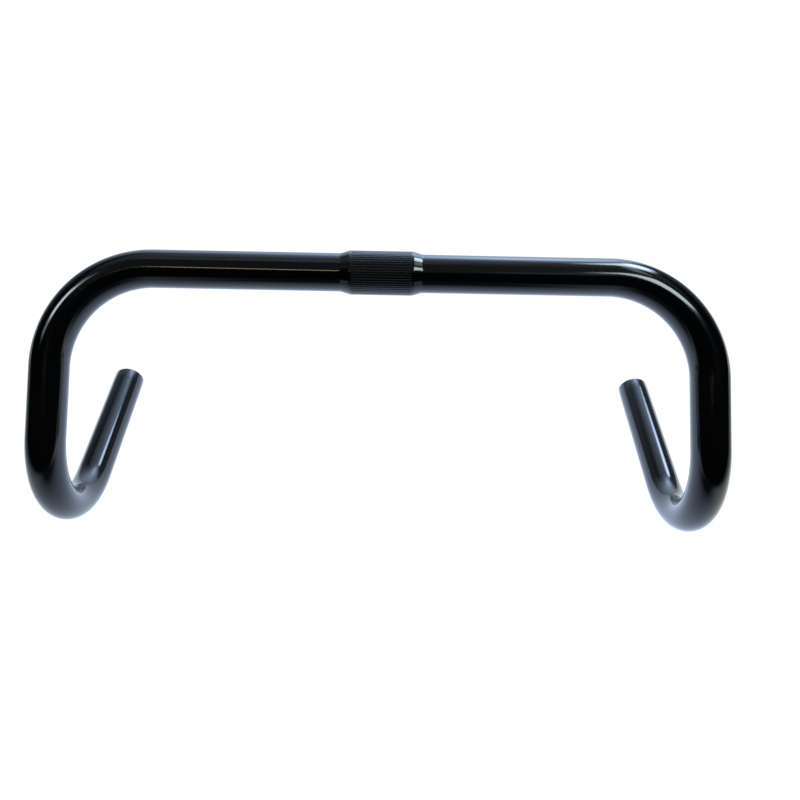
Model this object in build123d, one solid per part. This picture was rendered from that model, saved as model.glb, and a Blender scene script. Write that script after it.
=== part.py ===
from build123d import *
import os
from math import acos, atan2, cos, degrees, radians, sin

# A drop handlebar: one bent steel tube and the knurled sleeve that a stem clamps.
# Origin at the middle of the clamp, +X along the clamp axis towards the rider's left,
# -Y the way the bar reaches forward, +Z up with both drops level. Millimetres and degrees.

# tube
TUBE_OD = 22.2
TUBE_WALL = 1.2
END_BREAK = 0.3

# path of one half of the bar, from the clamp out
TOP_HALF = 132.5
CORNER_RADIUS = 61.0
RAMP_PITCH = 47.0
RAMP_FLARE = 2.4
RAMP_LENGTH = 40.7
HOOK_FLARE = 4.0
HOOK_UPPER_RADIUS = 44.0
HOOK_UPPER_ANGLE = 48.3
HOOK_LOWER_RADIUS = 55.0
DROP_LENGTH = 99.2

# clamp sleeve
SLEEVE_OD = 25.4
KNURL_LENGTH = 36.0
PLAIN_LAND = 0.5
SHOULDER_LENGTH = 5.2
LIP_LENGTH = 0.6
LIP_THICKNESS = 0.25
CREST_RADIUS = 2.0
FOOT_RADIUS = 4.0
GROOVE_COUNT = 50
GROOVE_WIDTH = 0.66
GROOVE_DEPTH = 0.35

TUBE_RADIUS = TUBE_OD / 2
BORE_RADIUS = TUBE_RADIUS - TUBE_WALL


def tube_section(point, direction):
    """The ring of metal square to the path at one point."""
    plane = Plane(origin=point, z_dir=direction)
    return plane * (Circle(TUBE_RADIUS) - Circle(BORE_RADIUS))


def straight(point, direction, length):
    """A straight run of tube and the point it ends at."""
    run = extrude(tube_section(point, direction), length, dir=direction)
    return run, point + direction * length


def bend(point, direction, normal, radius, angle):
    """A bend of tube about a normal, with the point and direction it ends at."""
    centre = point + normal.cross(direction) * radius
    run = revolve(tube_section(point, direction), Axis(centre, normal), angle)
    turn = Axis((0, 0, 0), normal)
    end = centre + (point - centre).rotate(turn, angle)
    return run, end, direction.rotate(turn, angle)


def break_end(run, point, direction):
    """Takes the sharp edges off a cut tube end."""
    rims = run.edges().filter_by(
        lambda edge: abs((edge.center() - point).dot(direction)) < 0.01
    )
    return chamfer(rims, END_BREAK)


def bar_half():
    """The +X half of the bent tube: top, corner, ramp, hook and level drop."""
    across = Vector(1, 0, 0)
    turned = radians(90 - RAMP_FLARE)
    pitch = radians(RAMP_PITCH)
    down_ramp = Vector(
        cos(turned),
        -sin(turned) * cos(pitch),
        -sin(turned) * sin(pitch),
    )
    corner_normal = across.cross(down_ramp).normalized()
    corner_angle = degrees(acos(across.dot(down_ramp)))

    hook_normal = (across - down_ramp * across.dot(down_ramp)).normalized()
    hook_normal = hook_normal.rotate(Axis((0, 0, 0), down_ramp), HOOK_FLARE)
    inward = hook_normal.cross(down_ramp)
    level_angle = degrees(atan2(-down_ramp.Z, inward.Z))

    top, point = straight(Vector(0, 0, 0), across, TOP_HALF)
    corner, point, heading = bend(point, across, corner_normal, CORNER_RADIUS, corner_angle)
    ramp, point = straight(point, heading, RAMP_LENGTH)
    upper, point, heading = bend(
        point, heading, hook_normal, HOOK_UPPER_RADIUS, HOOK_UPPER_ANGLE
    )
    lower, point, heading = bend(
        point, heading, hook_normal, HOOK_LOWER_RADIUS, level_angle - HOOK_UPPER_ANGLE
    )
    drop, point = straight(point, heading, DROP_LENGTH)
    drop = break_end(drop, point, heading)
    return top + corner + ramp + upper + lower + drop


def bar_tube():
    """The whole tube, both halves joined at the clamp."""
    half = bar_half()
    return half + mirror(half, about=Plane.YZ)


def sleeve_blank():
    """The sleeve turned to shape, with a rounded shoulder down to the tube each side."""
    crest = KNURL_LENGTH / 2 + PLAIN_LAND
    foot = crest + SHOULDER_LENGTH
    lip = TUBE_RADIUS + LIP_THICKNESS
    outline = Polyline(
        (-foot - LIP_LENGTH, TUBE_RADIUS),
        (-foot - LIP_LENGTH, lip),
        (-foot, lip),
        (-crest, SLEEVE_OD / 2),
        (crest, SLEEVE_OD / 2),
        (foot, lip),
        (foot + LIP_LENGTH, lip),
        (foot + LIP_LENGTH, TUBE_RADIUS),
        close=True,
    )
    profile = make_face(outline)
    crests = profile.vertices().filter_by(lambda corner: abs(abs(corner.X) - crest) < 0.01)
    profile = fillet(crests, CREST_RADIUS)
    feet = profile.vertices().filter_by(lambda corner: abs(abs(corner.X) - foot) < 0.01)
    profile = fillet(feet, FOOT_RADIUS)
    return revolve(profile, Axis.X, 360)


def groove():
    """One straight V groove along the top of the sleeve."""
    surface = SLEEVE_OD / 2
    rise = 0.2
    flare = GROOVE_WIDTH / 2 * (1 + rise / GROOVE_DEPTH)
    outline = Polyline(
        (0, surface - GROOVE_DEPTH),
        (flare, surface + rise),
        (-flare, surface + rise),
        close=True,
    )
    start = Plane(origin=(-KNURL_LENGTH / 2, 0, 0), x_dir=(0, 1, 0), z_dir=(1, 0, 0))
    return extrude(start * make_face(outline), KNURL_LENGTH, dir=(1, 0, 0))


def clamp_sleeve():
    """The sleeve with its ring of lengthwise grooves."""
    step = 360 / GROOVE_COUNT
    cutter = groove()
    cutters = [cutter.rotate(Axis.X, step * index) for index in range(GROOVE_COUNT)]
    return sleeve_blank() - cutters


os.makedirs("parts", exist_ok=True)
export_step(bar_tube(), "parts/bar_tube.step")
export_step(clamp_sleeve(), "parts/clamp_sleeve.step")
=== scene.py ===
import math

import bpy
from mathutils import Matrix, Vector


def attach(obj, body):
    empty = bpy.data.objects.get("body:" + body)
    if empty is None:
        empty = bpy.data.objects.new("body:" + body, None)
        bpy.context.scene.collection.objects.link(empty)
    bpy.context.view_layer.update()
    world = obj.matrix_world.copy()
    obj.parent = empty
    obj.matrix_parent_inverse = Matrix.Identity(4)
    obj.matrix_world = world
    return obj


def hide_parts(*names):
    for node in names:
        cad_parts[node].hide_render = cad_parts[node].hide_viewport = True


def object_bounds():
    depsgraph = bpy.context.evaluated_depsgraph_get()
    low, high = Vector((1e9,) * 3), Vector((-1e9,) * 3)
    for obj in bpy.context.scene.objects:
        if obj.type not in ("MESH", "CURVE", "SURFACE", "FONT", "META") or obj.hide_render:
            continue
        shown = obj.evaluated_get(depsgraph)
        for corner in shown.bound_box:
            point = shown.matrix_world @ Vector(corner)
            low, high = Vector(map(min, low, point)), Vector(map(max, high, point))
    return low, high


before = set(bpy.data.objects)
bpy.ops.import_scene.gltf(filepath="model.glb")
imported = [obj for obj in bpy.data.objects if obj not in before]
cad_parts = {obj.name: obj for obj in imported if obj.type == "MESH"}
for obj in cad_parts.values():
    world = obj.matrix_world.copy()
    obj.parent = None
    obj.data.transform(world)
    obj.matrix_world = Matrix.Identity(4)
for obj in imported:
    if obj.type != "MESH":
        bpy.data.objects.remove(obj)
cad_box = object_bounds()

# Metres and degrees, in the row frame: +X along the clamp, -Y forward, +Z up,
# origin in the middle of the clamp.

# The bent tube: the CAD's path, and a radius a hair smaller, so that no facet stands outside it.
TUBE_RADIUS = 0.01108
BORE_RADIUS = 0.0099
OUTER_BREAK = 0.00035
INNER_BREAK = 0.00025
TOP_HALF = 0.1325
CORNER_RADIUS = 0.061
RAMP_PITCH = 47.0
RAMP_FLARE = 2.4
RAMP_LENGTH = 0.0407
HOOK_FLARE = 4.0
HOOK_UPPER_RADIUS = 0.044
HOOK_UPPER_ANGLE = 48.3
HOOK_LOWER_RADIUS = 0.055
DROP_LENGTH = 0.0992
TUBE_SIDES = 96
BEND_STEP = 1.8
EDGE_STEPS = 4

# The clamp sleeve, with finer grooves and a flatter lip than the CAD's.
SLEEVE_RADIUS = 0.0127
KNURL_HALF = 0.018
CREST_AT = 0.0185
FOOT_AT = 0.0236
LIP_AT = 0.0243
LIP_RADIUS = 0.01112
LIP_ROUND = 0.00003
CREST_ROUND = 0.0032
FOOT_ROUND = 0.0042
GROOVE_COUNT = 50
GROOVE_DEPTH = 0.00018
GROOVE_SHARPNESS = 6.0
GROOVE_FADE = 0.0012
SIDES_PER_GROOVE = 24

# The paint's orange peel, as the size of its ripples and their depth.
TUBE_PEEL = (0.0028, 0.0000025)
SLEEVE_PEEL = (0.0020, 0.0000012)

# The camera.
CAMERA_PLACE = (0.0037, -0.3466, 0.2314)
CAMERA_PITCH = -44.12
CAMERA_YAW = -0.12
CAMERA_ROLL = 1.05
CAMERA_LENS = 31.6
CAMERA_SHIFT = (0.0199, 0.0026)

# The stage. The table that the gloss sees lies just under the floor that the camera sees.
ROOM_RADIUS = 6.0
FLOOR_Z = cad_box[0][2]
FLOOR_HALF = 8
TABLE_Z = FLOOR_Z - 0.0002
TABLE_FRONT_LEFT = (-2.5, -1.1)
TABLE_BACK_RIGHT = (2.5, 2.5)
BACKGROUND_WHITE = 1.05


def turned(vector, axis, angle):
    """A vector turned about an axis by an angle in radians."""
    return Matrix.Rotation(angle, 3, axis) @ vector


def full_turn(count):
    """Evenly spaced angles once round."""
    return [2 * math.pi * index / count for index in range(count)]


def quarter_turn():
    """Evenly spaced angles from nothing to a right angle, both counted, for a small round edge."""
    return [math.pi / 2 * step / EDGE_STEPS for step in range(EDGE_STEPS + 1)]


# ---------------------------------------------------------------- the tube's path


class Walk:
    """Follows the tube from the clamp out, keeping a cross-section frame with no twist."""

    def __init__(self):
        self.place = Vector((0, 0, 0))
        self.heading = Vector((1, 0, 0))
        self.side = Vector((0, 0, 1))
        self.along = 0.0
        self.stations = []
        self.mark()

    def mark(self):
        """Keep the present place as a station."""
        self.stations.append((self.place.copy(), self.heading.copy(), self.side.copy(), self.along))

    def straight(self, length, steps):
        """Go straight on."""
        for _ in range(steps):
            self.place = self.place + self.heading * (length / steps)
            self.along += length / steps
            self.mark()

    def bend(self, normal, radius, angle):
        """Go round an arc in the plane across the normal."""
        centre = self.place + normal.cross(self.heading) * radius
        steps = max(2, math.ceil(angle / math.radians(BEND_STEP)))
        for _ in range(steps):
            self.place = centre + turned(self.place - centre, normal, angle / steps)
            self.heading = turned(self.heading, normal, angle / steps)
            self.side = turned(self.side, normal, angle / steps)
            self.along += radius * angle / steps
            self.mark()


def bar_path():
    """Stations of the +X half, each a place, a heading, a side direction and a length so far."""
    across = Vector((1, 0, 0))
    flare = math.radians(90 - RAMP_FLARE)
    pitch = math.radians(RAMP_PITCH)
    down_ramp = Vector(
        (math.cos(flare), -math.sin(flare) * math.cos(pitch), -math.sin(flare) * math.sin(pitch))
    )
    corner_normal = across.cross(down_ramp).normalized()
    hook_normal = (across - down_ramp * across.dot(down_ramp)).normalized()
    hook_normal = turned(hook_normal, down_ramp, math.radians(HOOK_FLARE))
    inward = hook_normal.cross(down_ramp)
    level_angle = math.atan2(-down_ramp.z, inward.z)
    upper_angle = math.radians(HOOK_UPPER_ANGLE)

    walk = Walk()
    walk.straight(TOP_HALF, steps=12)
    walk.bend(corner_normal, CORNER_RADIUS, math.acos(across.dot(down_ramp)))
    walk.straight(RAMP_LENGTH, steps=4)
    walk.bend(hook_normal, HOOK_UPPER_RADIUS, upper_angle)
    walk.bend(hook_normal, HOOK_LOWER_RADIUS, level_angle - upper_angle)
    walk.straight(DROP_LENGTH, steps=10)
    return walk.stations


def mirrored(vector):
    """The same vector on the other side of the bar."""
    return Vector((-vector.x, vector.y, vector.z))


def whole_path():
    """Stations from the -X end to the +X end, with the length counted from the clamp."""
    half = bar_path()
    other = []
    for place, heading, side, along in reversed(half[1:]):
        other.append((mirrored(place), -mirrored(heading), mirrored(side), -along))
    return other + half


# ---------------------------------------------------------------- meshes


def make_object(name, vertices, faces, flat_space, face_materials=None):
    """A smooth mesh object, with the tube's straightened coordinates stored on its points."""
    mesh = bpy.data.meshes.new(name)
    mesh.from_pydata(vertices, [], faces)
    mesh.update()
    space = mesh.attributes.new("tube_space", "FLOAT_VECTOR", "POINT")
    space.data.foreach_set("vector", [value for point in flat_space for value in point])
    mesh.shade_smooth()
    if face_materials:
        mesh.polygons.foreach_set("material_index", face_materials)
    piece = bpy.data.objects.new(name, mesh)
    bpy.context.scene.collection.objects.link(piece)
    return piece


def ring(place, heading, side, radius, count):
    """Points of one circle about the path."""
    other = heading.cross(side)
    points = []
    for angle in full_turn(count):
        points.append(place + side * (radius * math.cos(angle)) + other * (radius * math.sin(angle)))
    return points


def flat_ring(along, radius, count):
    """The same circle in straightened coordinates."""
    return [(along, radius * math.cos(angle), radius * math.sin(angle)) for angle in full_turn(count)]


def band_faces(row, after, count):
    """The four-sided faces between two rows of points."""
    here, there = row * count, after * count
    faces = []
    for index in range(count):
        beside = (index + 1) % count
        faces.append((here + index, here + beside, there + beside, there + index))
    return faces


def end_profile(sign):
    """The cut end as (distance past the end, radius), with broken edges.

    It runs from outside to bore at the +X end, and back out at the other.
    """
    profile = []
    for angle in quarter_turn():
        back = OUTER_BREAK * (1 - math.sin(angle))
        profile.append((-back, TUBE_RADIUS - OUTER_BREAK * (1 - math.cos(angle))))
    for angle in quarter_turn():
        back = INNER_BREAK * (1 - math.cos(angle))
        profile.append((-back, BORE_RADIUS + INNER_BREAK * (1 - math.sin(angle))))
    if sign < 0:
        profile.reverse()
    return profile


def bar_skin():
    """The painted tube: outside, both cut ends and the bore, as one closed mesh."""
    stations = whole_path()
    vertices = []
    flat = []
    in_bore = []

    def add(place, heading, side, radius, along, bore=False):
        vertices.extend(ring(place, heading, side, radius, TUBE_SIDES))
        flat.extend(flat_ring(along, radius, TUBE_SIDES))
        in_bore.append(bore)

    for place, heading, side, along in stations[1:-1]:
        add(place, heading, side, TUBE_RADIUS, along)
    place, heading, side, along = stations[-1]
    for past, radius in end_profile(1):
        add(place + heading * past, heading, side, radius, along + past)
    for place, heading, side, along in reversed(stations[1:-1]):
        add(place, heading, side, BORE_RADIUS, along, bore=True)
    place, heading, side, along = stations[0]
    for past, radius in end_profile(-1):
        add(place - heading * past, heading, side, radius, along - past)

    rows = len(in_bore)
    faces = []
    slots = []
    for row in range(rows):
        after = (row + 1) % rows
        faces += band_faces(row, after, TUBE_SIDES)
        slots += [1 if in_bore[row] and in_bore[after] else 0] * TUBE_SIDES
    return make_object("bar_tube_skin", vertices, faces, flat, slots)


def smooth_step(low, high, value):
    """0 below the low value, 1 above the high one, and a smooth rise between them."""
    share = min(1.0, max(0.0, (value - low) / (high - low)))
    return share * share * (3 - 2 * share)


def sleeve_outline():
    """Half of the sleeve's outside from the middle out: (x, radius), with the shoulder rounded."""
    slope = math.atan2(SLEEVE_RADIUS - LIP_RADIUS, FOOT_AT - CREST_AT)
    crest_tangent = CREST_ROUND * math.tan(slope / 2)
    foot_tangent = FOOT_ROUND * math.tan(slope / 2)
    knurl_steps, crest_steps, foot_steps = 6, 6, 8
    fade_rows = (-GROOVE_FADE, -0.0008, -0.0005, -0.0002, 0.0)
    outline = [(KNURL_HALF * step / knurl_steps, SLEEVE_RADIUS) for step in range(knurl_steps)]
    outline += [(KNURL_HALF + inset, SLEEVE_RADIUS) for inset in fade_rows]
    for step in range(crest_steps + 1):
        angle = slope * step / crest_steps
        x = CREST_AT - crest_tangent + CREST_ROUND * math.sin(angle)
        outline.append((x, SLEEVE_RADIUS - CREST_ROUND * (1 - math.cos(angle))))
    for step in range(foot_steps + 1):
        angle = slope * (1 - step / foot_steps)
        x = FOOT_AT + foot_tangent - FOOT_ROUND * math.sin(angle)
        outline.append((x, LIP_RADIUS + FOOT_ROUND * (1 - math.cos(angle))))
    for angle in quarter_turn():
        x = LIP_AT - LIP_ROUND * (1 - math.sin(angle))
        outline.append((x, LIP_RADIUS - LIP_ROUND * (1 - math.cos(angle))))
    return outline


def sleeve_skin():
    """The clamp sleeve as one closed mesh: grooves along the clamp, shoulders, lips and bore."""
    angles = full_turn(GROOVE_COUNT * SIDES_PER_GROOVE)
    half = sleeve_outline()
    outline = [(-x, radius) for x, radius in reversed(half[1:])] + half
    vertices = []
    for x, radius in outline:
        depth = GROOVE_DEPTH * (1 - smooth_step(KNURL_HALF - GROOVE_FADE, KNURL_HALF, abs(x)))
        for angle in angles:
            wave = 0.5 + 0.5 * math.cos(GROOVE_COUNT * angle)
            reach = radius - depth * (wave ** GROOVE_SHARPNESS)
            vertices.append((x, -reach * math.sin(angle), reach * math.cos(angle)))
    for x in (outline[-1][0], outline[0][0]):
        for angle in angles:
            vertices.append((x, -TUBE_RADIUS * math.sin(angle), TUBE_RADIUS * math.cos(angle)))
    rows = len(outline) + 2
    faces = []
    for row in range(rows):
        faces += band_faces(row, (row + 1) % rows, len(angles))
    return make_object("clamp_sleeve_skin", vertices, faces, vertices)


# ---------------------------------------------------------------- materials


class Nodes:
    """Small helper around one material's node tree."""

    def __init__(self, name):
        self.material = bpy.data.materials.new(name)
        self.material.use_nodes = True
        self.tree = self.material.node_tree
        self.shader = self.tree.nodes["Principled BSDF"]

    def add(self, kind, **settings):
        """A new node of one kind, with its settings."""
        node = self.tree.nodes.new(kind)
        for key, value in settings.items():
            setattr(node, key, value)
        return node

    def link(self, source, target):
        """A wire from an output to an input."""
        self.tree.links.new(source, target)

    def noise(self, vector, scale, detail, roughness):
        """Smooth noise over a vector."""
        node = self.add("ShaderNodeTexNoise")
        node.inputs["Scale"].default_value = scale
        node.inputs["Detail"].default_value = detail
        node.inputs["Roughness"].default_value = roughness
        self.link(vector, node.inputs["Vector"])
        return node.outputs["Fac"]

    def split(self, vector):
        """The X, Y and Z of a vector."""
        node = self.add("ShaderNodeSeparateXYZ")
        self.link(vector, node.inputs["Vector"])
        return node.outputs["X"], node.outputs["Y"], node.outputs["Z"]

    def stretch(self, vector, scale):
        """A vector with each axis multiplied by its own number."""
        node = self.add("ShaderNodeVectorMath", operation="MULTIPLY")
        node.inputs[1].default_value = scale
        self.link(vector, node.inputs[0])
        return node.outputs["Vector"]

    def remap(self, value, low, high, to_low, to_high):
        """A smooth change from one value to another, between a low and a high input."""
        node = self.add("ShaderNodeMapRange", interpolation_type="SMOOTHSTEP")
        node.inputs["From Min"].default_value = low
        node.inputs["From Max"].default_value = high
        node.inputs["To Min"].default_value = to_low
        node.inputs["To Max"].default_value = to_high
        self.link(value, node.inputs["Value"])
        return node.outputs["Result"]

    def math(self, operation, first, second=0.0):
        """Arithmetic on two values, each a number or an output."""
        node = self.add("ShaderNodeMath", operation=operation)
        for value, socket in ((first, node.inputs[0]), (second, node.inputs[1])):
            if isinstance(value, (int, float)):
                socket.default_value = value
            else:
                self.link(value, socket)
        return node.outputs["Value"]

    def mix(self, share, low, high):
        """A colour between two, each given or an output."""
        node = self.add("ShaderNodeMix", data_type="RGBA")
        self.link(share, node.inputs["Factor"])
        for value, socket in ((low, node.inputs["A"]), (high, node.inputs["B"])):
            if isinstance(value, tuple):
                socket.default_value = (*value, 1)
            else:
                self.link(value, socket)
        return node.outputs["Result"]

    def bump(self, height, distance):
        """A surface raised by a height times a distance."""
        node = self.add("ShaderNodeBump")
        node.inputs["Distance"].default_value = distance
        node.inputs["Strength"].default_value = 1.0
        self.link(height, node.inputs["Height"])
        return node.outputs["Normal"]


def gloss_black_paint(name, peel, dull_half=0.0):
    """Sprayed gloss black: orange peel, fine lengthwise hairlines, dust in the paint, faint smears.

    Within dull_half of the middle the finish is duller, as where a stem has rubbed it.
    """
    peel_size, peel_depth = peel
    long_thin = (60, 2600, 2600)
    long_soft = (14, 60, 60)
    dust = 2400
    deep_black = (0.0010, 0.0012, 0.0015)
    soft_black = (0.0022, 0.0026, 0.0032)
    scratched_black = (0.010, 0.011, 0.013)
    dust_grey = (0.030, 0.032, 0.035)

    nodes = Nodes(name)
    space = nodes.add("ShaderNodeAttribute", attribute_name="tube_space").outputs["Vector"]
    ripples = nodes.noise(space, 1 / peel_size, 2.0, 0.45)
    hairs = nodes.noise(nodes.stretch(space, long_thin), 1.0, 2.0, 0.6)
    hair_mask = nodes.remap(hairs, 0.66, 0.72, 0.0, 1.0)
    smear = nodes.noise(nodes.stretch(space, long_soft), 1.0, 4.0, 0.62)
    specks = nodes.noise(space, dust, 1.0, 0.4)
    speck_mask = nodes.remap(specks, 0.79, 0.83, 0.0, 1.0)

    black = nodes.mix(smear, deep_black, soft_black)
    black = nodes.mix(nodes.math("MULTIPLY", hair_mask, 0.25), black, scratched_black)
    black = nodes.mix(nodes.math("MULTIPLY", speck_mask, 0.5), black, dust_grey)
    nodes.link(black, nodes.shader.inputs["Base Color"])

    gloss = nodes.remap(smear, 0.35, 0.72, 0.075, 0.125)
    gloss = nodes.math("ADD", gloss, nodes.math("MULTIPLY", hair_mask, 0.04))
    gloss = nodes.math("ADD", gloss, nodes.math("MULTIPLY", speck_mask, 0.12))
    if dull_half:
        away = nodes.math("ABSOLUTE", nodes.split(space)[0])
        gloss = nodes.math("ADD", gloss, nodes.remap(away, dull_half - 0.0008, dull_half, 0.08, 0.0))
    nodes.link(gloss, nodes.shader.inputs["Roughness"])

    height = nodes.math("ADD", ripples, nodes.math("MULTIPLY", speck_mask, 0.8))
    nodes.link(nodes.bump(height, peel_depth), nodes.shader.inputs["Normal"])
    nodes.shader.inputs["IOR"].default_value = 1.5
    return nodes.material


def bore_steel():
    """Bare drawn steel inside the tube, with paint mist near the cut ends and lengthwise die marks."""
    long_marks = (12, 1500, 1500)
    dark_steel = (0.16, 0.155, 0.15)
    bright_steel = (0.30, 0.295, 0.285)
    rust = (0.10, 0.055, 0.03)
    mist_black = (0.004, 0.004, 0.005)

    nodes = Nodes("bore_steel")
    space = nodes.add("ShaderNodeAttribute", attribute_name="tube_space").outputs["Vector"]
    along = nodes.math("ABSOLUTE", nodes.split(space)[0])
    end_at = bar_path()[-1][3]
    blotch = nodes.noise(space, 260, 4.0, 0.6)
    ragged = nodes.math("MULTIPLY", nodes.math("SUBTRACT", blotch, 0.5), 0.016)
    edge = nodes.math("ADD", along, ragged)
    mist = nodes.remap(edge, end_at - 0.030, end_at - 0.006, 0.0, 1.0)
    marks = nodes.noise(nodes.stretch(space, long_marks), 1.0, 3.0, 0.6)
    steel = nodes.mix(marks, dark_steel, bright_steel)
    steel = nodes.mix(nodes.remap(blotch, 0.58, 0.78, 0.0, 0.5), steel, rust)
    steel = nodes.mix(mist, steel, mist_black)
    nodes.link(steel, nodes.shader.inputs["Base Color"])
    bare = nodes.math("SUBTRACT", 0.9, nodes.math("MULTIPLY", mist, 0.9))
    nodes.link(bare, nodes.shader.inputs["Metallic"])
    nodes.link(nodes.remap(marks, 0.3, 0.7, 0.36, 0.52), nodes.shader.inputs["Roughness"])
    nodes.link(nodes.bump(marks, 0.00002), nodes.shader.inputs["Normal"])
    return nodes.material


# ---------------------------------------------------------------- studio


def direction(azimuth, elevation):
    """A unit vector: azimuth 0 is +Y, 90 is +X."""
    azimuth, elevation = math.radians(azimuth), math.radians(elevation)
    level = math.cos(elevation)
    return Vector((math.sin(azimuth) * level, math.cos(azimuth) * level, math.sin(elevation)))


def add_softbox(name, aim_at, azimuth, elevation, distance, size, radiance, colour, tilt=0.0):
    """A rectangular light that faces a point, from a direction and a distance, turned by a tilt."""
    data = bpy.data.lights.new(name, "AREA")
    data.shape = "RECTANGLE"
    data.size, data.size_y = size
    data.color = colour
    data.energy = radiance * math.pi * size[0] * size[1]
    data.spread = math.pi
    light = bpy.data.objects.new(name, data)
    bpy.context.scene.collection.objects.link(light)
    away = direction(azimuth, elevation)
    facing = away.to_track_quat("Z", "Y").to_matrix()
    turn = facing @ Matrix.Rotation(math.radians(tilt), 3, "Z")
    light.matrix_world = Matrix.Translation(Vector(aim_at) + away * distance) @ turn.to_4x4()
    light.visible_camera = False
    return light


def stage_plane(name, low, high, z):
    """A flat stage piece between two corners."""
    mesh = bpy.data.meshes.new(name)
    (left, front), (right, back) = low, high
    corners = [(left, front, z), (right, front, z), (right, back, z), (left, back, z)]
    mesh.from_pydata(corners, [], [(0, 1, 2, 3)])
    piece = bpy.data.objects.new(name, mesh)
    bpy.context.scene.collection.objects.link(piece)
    return piece


class GlowNodes(Nodes):
    """An emission material worked out from the object's own coordinates."""

    def __init__(self, name):
        super().__init__(name)
        self.tree.nodes.remove(self.shader)
        self.shader = self.add("ShaderNodeEmission")
        surface = self.tree.nodes["Material Output"].inputs["Surface"]
        self.link(self.shader.outputs["Emission"], surface)
        self.place = self.add("ShaderNodeTexCoord").outputs["Object"]

    def unit(self):
        """The direction of a point from the origin."""
        node = self.add("ShaderNodeVectorMath", operation="NORMALIZE")
        self.link(self.place, node.inputs[0])
        return node.outputs["Vector"]

    def nearness(self, toward):
        """How nearly the direction of a point agrees with another, as a cosine."""
        dot = self.add("ShaderNodeVectorMath", operation="DOT_PRODUCT")
        self.link(self.unit(), dot.inputs[0])
        dot.inputs[1].default_value = toward
        return dot.outputs["Value"]

    def lobe(self, toward, height, width):
        """A soft bright patch about one direction; width is where it falls to a third, in degrees."""
        sharpness = 1.1 / (1 - math.cos(math.radians(width)))
        short = self.math("MULTIPLY", self.math("SUBTRACT", self.nearness(toward), 1.0), sharpness)
        return self.math("MULTIPLY", self.math("EXPONENT", short), height)

    def disc(self, toward, height, inner, outer):
        """A flat bright patch about one direction, with a soft edge between two angles."""
        low, high = math.cos(math.radians(outer)), math.cos(math.radians(inner))
        return self.remap(self.nearness(toward), low, high, 0.0, height)

    def tinted(self, colour, strength):
        """A colour times a strength."""
        node = self.add("ShaderNodeVectorMath", operation="SCALE")
        node.inputs[0].default_value = colour
        self.link(strength, node.inputs["Scale"])
        return node.outputs["Vector"]

    def total(self, first, *others):
        """The sum of several tinted lights."""
        for other in others:
            node = self.add("ShaderNodeVectorMath", operation="ADD")
            self.link(first, node.inputs[0])
            self.link(other, node.inputs[1])
            first = node.outputs["Vector"]
        return first


def add_floor():
    """The plain white floor, which only the camera sees."""
    floor = stage_plane("floor", (-FLOOR_HALF, -FLOOR_HALF), (FLOOR_HALF, FLOOR_HALF), FLOOR_Z)
    glow = GlowNodes("floor_white")
    glow.shader.inputs["Color"].default_value = (1, 1, 1, 1)
    glow.shader.inputs["Strength"].default_value = BACKGROUND_WHITE
    floor.data.materials.append(glow.material)
    floor.visible_glossy = False
    floor.visible_diffuse = False
    floor.visible_shadow = False


def add_reflected_table():
    """What the gloss sees of the table: bright below and behind the bar, darker to the front."""
    table = stage_plane("table_glow", TABLE_FRONT_LEFT, TABLE_BACK_RIGHT, TABLE_Z)
    glow = GlowNodes("table_glow")
    x, y, _ = glow.split(glow.place)
    sideways = glow.math("ABSOLUTE", x)

    # The front falls off close to the bar in the middle, and further out at the sides.
    middle = glow.remap(sideways, 0.12, 0.40, 1.0, 0.0)
    front_middle = glow.remap(y, -0.34, 0.02, 0.03, 1.0)
    front_sides = glow.remap(y, -0.85, -0.05, 0.03, 1.0)
    difference = glow.math("SUBTRACT", front_middle, front_sides)
    front = glow.math("ADD", front_sides, glow.math("MULTIPLY", difference, middle))
    below = glow.remap(y, 0.03, 0.45, 1.75, 1.15)
    right = glow.remap(x, -0.75, 0.4, 0.60, 0.98)
    far_sides = glow.remap(sideways, 0.25, 0.70, 1.0, 0.3)
    far = glow.math("MAXIMUM", far_sides, glow.remap(y, 0.0, 0.3, 0.0, 1.0))
    strength = glow.math("MULTIPLY", glow.math("MULTIPLY", front, below), glow.math("MULTIPLY", right, far))

    pale_blue, blue, neutral = (0.86, 1.0, 1.10), (0.83, 1.0, 1.30), (0.92, 1.0, 1.0)
    colour = glow.mix(glow.remap(x, -0.45, -0.10, 0.0, 1.0), pale_blue, blue)
    colour = glow.mix(glow.remap(x, 0.20, 0.28, 0.0, 1.0), colour, neutral)
    glow.link(colour, glow.shader.inputs["Color"])
    glow.link(strength, glow.shader.inputs["Strength"])
    table.data.materials.append(glow.material)
    table.visible_camera = False


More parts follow.
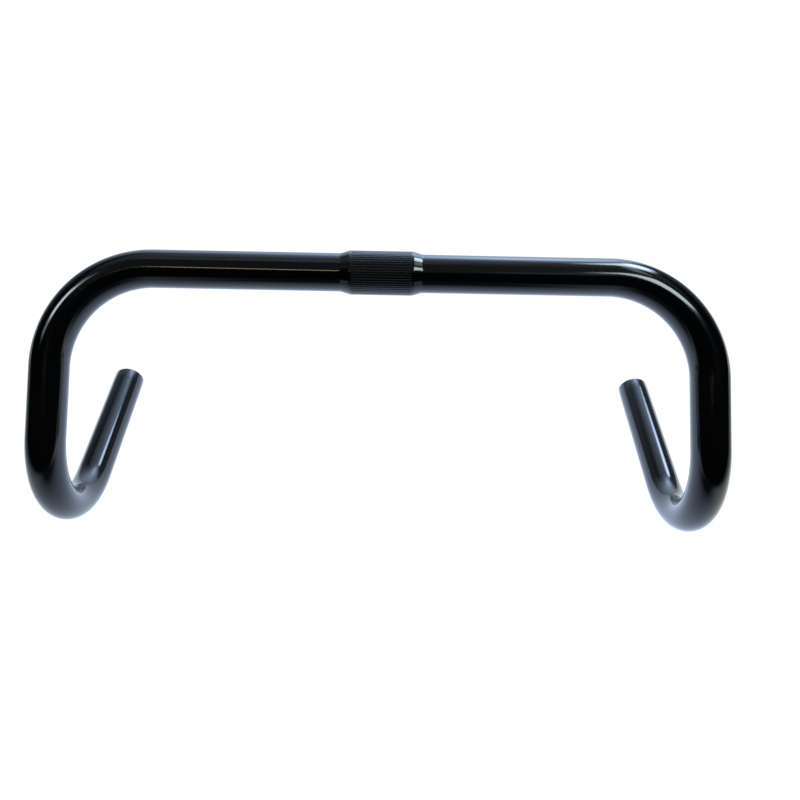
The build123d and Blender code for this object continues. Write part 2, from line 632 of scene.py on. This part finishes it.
def room_glow():
    """The room's light by direction: dark in front, a grey ceiling, a bright window behind."""
    glow = GlowNodes("room_glow")
    x, y, z = glow.split(glow.unit())
    azimuth = glow.math("MULTIPLY", glow.math("ARCTAN2", x, y), 180 / math.pi)

    ceiling = glow.math("ADD", glow.remap(x, -0.3, 0.4, 0.10, 0.19), glow.remap(y, -0.1, 0.35, 0.0, 0.22))
    ceiling = glow.math("MULTIPLY", ceiling, glow.remap(z, 0.65, 0.74, 0.0, 1.0))

    sides = glow.remap(glow.math("ABSOLUTE", azimuth), 50, 84, 0.22, 0.0)
    back_left = glow.remap(azimuth, -54, -12, 0.0, 0.85)
    back = glow.math("MULTIPLY", back_left, glow.remap(azimuth, 24, 33, 1.0, 0.0))
    wall = glow.math("MULTIPLY", glow.math("ADD", sides, back), glow.remap(z, 0.26, 0.62, 1.0, 0.15))

    haze = glow.lobe(direction(8, 26), 2.3, 22)
    haze = glow.math("MULTIPLY", haze, glow.remap(azimuth, 24, 40, 1.0, 0.1))
    window = glow.math("ADD", glow.lobe(direction(14, 30), 3.2, 10), haze)
    window = glow.math("ADD", window, glow.disc(direction(26, 38), 0.8, 6.0, 13.0))
    window = glow.math("MAXIMUM", window, glow.disc(direction(40, 38.5), 13.0, 3.0, 9.5))
    lamp = glow.disc(direction(44, 50), 12.5, 7.0, 12.0)

    light = glow.total(
        glow.tinted((0.86, 1.0, 1.08), ceiling),
        glow.tinted((0.82, 1.0, 1.28), wall),
        glow.tinted((0.76, 1.0, 1.42), window),
        glow.tinted((0.85, 1.0, 1.18), lamp),
    )
    glow.link(light, glow.shader.inputs["Color"])
    return glow.material


def add_room():
    """A dome about everything, which only reflections see."""
    segments, rings_up = 64, 32
    vertices = []
    for row in range(rings_up + 1):
        elevation = -90 + 180 * row / rings_up
        for index in range(segments):
            vertices.append(direction(360 * index / segments, elevation) * ROOM_RADIUS)
    faces = []
    for row in range(rings_up):
        faces += band_faces(row, row + 1, segments)
    mesh = bpy.data.meshes.new("room")
    mesh.from_pydata(vertices, [], faces)
    mesh.materials.append(room_glow())
    room = bpy.data.objects.new("room", mesh)
    bpy.context.scene.collection.objects.link(room)
    room.visible_camera = False


def add_lights(tube, sleeve):
    """Soft boxes right and left of the camera, with fainter tails, and slim strips in front and above."""
    right_bend = (0.154, -0.011, 0.004)
    left_bend = (-0.178, -0.020, -0.006)
    left_top = (-0.081, -0.009, 0.007)
    left_top_crown = (-0.09, 0.0, 0.01)
    pale_blue = (0.90, 1.0, 1.08)
    gold = (1.20, 1.0, 0.56)
    pale_green = (0.95, 1.0, 0.90)

    add_softbox("box_right", right_bend, 134, 52.5, 1.45, (0.46, 0.34), 12.0, (0.86, 1.0, 1.04))
    add_softbox("box_right_tail", right_bend, 160, 50, 1.45, (0.40, 0.12), 0.4, (0.86, 1.0, 1.10))
    add_softbox("side_right", right_bend, 78, 64, 1.6, (0.56, 0.20), 2.2, (0.88, 1.0, 1.02))
    add_softbox("box_left", left_bend, -112, 43, 1.6, (0.36, 0.30), 12.0, pale_blue, tilt=20)
    add_softbox("box_left_tail", left_bend, -112, 43, 1.6, (0.34, 0.60), 2.6, pale_blue, tilt=20)
    add_softbox("overhead", left_top_crown, -50, 75, 1.5, (0.70, 0.035), 2.2, pale_green, tilt=-50)

    # The sleeve's grooves break the warm strip up into grains, so the sleeve gets a fainter one.
    for receiver, radiance in ((tube, 7.0), (sleeve, 2.0)):
        warm = add_softbox("warm_strip", left_top, -167, 44, 1.4, (0.55, 0.05), radiance, gold)
        lit = bpy.data.collections.new("lit_by_warm_strip")
        lit.objects.link(receiver)
        warm.light_linking.receiver_collection = lit


def add_camera():
    """The camera, looking down at the bar from in front."""
    data = bpy.data.cameras.new("camera")
    data.sensor_width = 36.0
    data.lens = CAMERA_LENS
    data.shift_x, data.shift_y = CAMERA_SHIFT
    data.clip_start = 0.01
    data.clip_end = 50.0
    camera = bpy.data.objects.new("camera", data)
    bpy.context.scene.collection.objects.link(camera)
    level_look = direction(CAMERA_YAW, CAMERA_PITCH).to_track_quat("-Z", "Y").to_matrix()
    turn = level_look @ Matrix.Rotation(math.radians(CAMERA_ROLL), 3, "Z")
    camera.matrix_world = Matrix.Translation(CAMERA_PLACE) @ turn.to_4x4()
    bpy.context.scene.camera = camera


def set_world():
    """A plain pale surround."""
    world = bpy.data.worlds.new("surround")
    world.use_nodes = True
    background = world.node_tree.nodes["Background"]
    background.inputs["Color"].default_value = (1, 1, 1, 1)
    background.inputs["Strength"].default_value = 1.0
    bpy.context.scene.world = world
    bpy.context.scene.view_settings.view_transform = "Standard"
    bpy.context.scene.view_settings.look = "None"


# ---------------------------------------------------------------- build


def add_tube():
    """The painted tube and its bare bore, in place of the CAD's."""
    tube = bar_skin()
    tube.data.materials.append(gloss_black_paint("tube_paint", TUBE_PEEL))
    tube.data.materials.append(bore_steel())
    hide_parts("bar_tube")
    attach(tube, "root")
    return tube


def add_sleeve():
    """The painted clamp sleeve, in place of the CAD's."""
    sleeve = sleeve_skin()
    sleeve.data.materials.append(gloss_black_paint("sleeve_paint", SLEEVE_PEEL, KNURL_HALF))
    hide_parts("clamp_sleeve")
    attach(sleeve, "root")
    return sleeve


bar_tube = add_tube()
clamp_sleeve = add_sleeve()
add_floor()
add_reflected_table()
add_room()
add_lights(bar_tube, clamp_sleeve)
add_camera()
set_world()
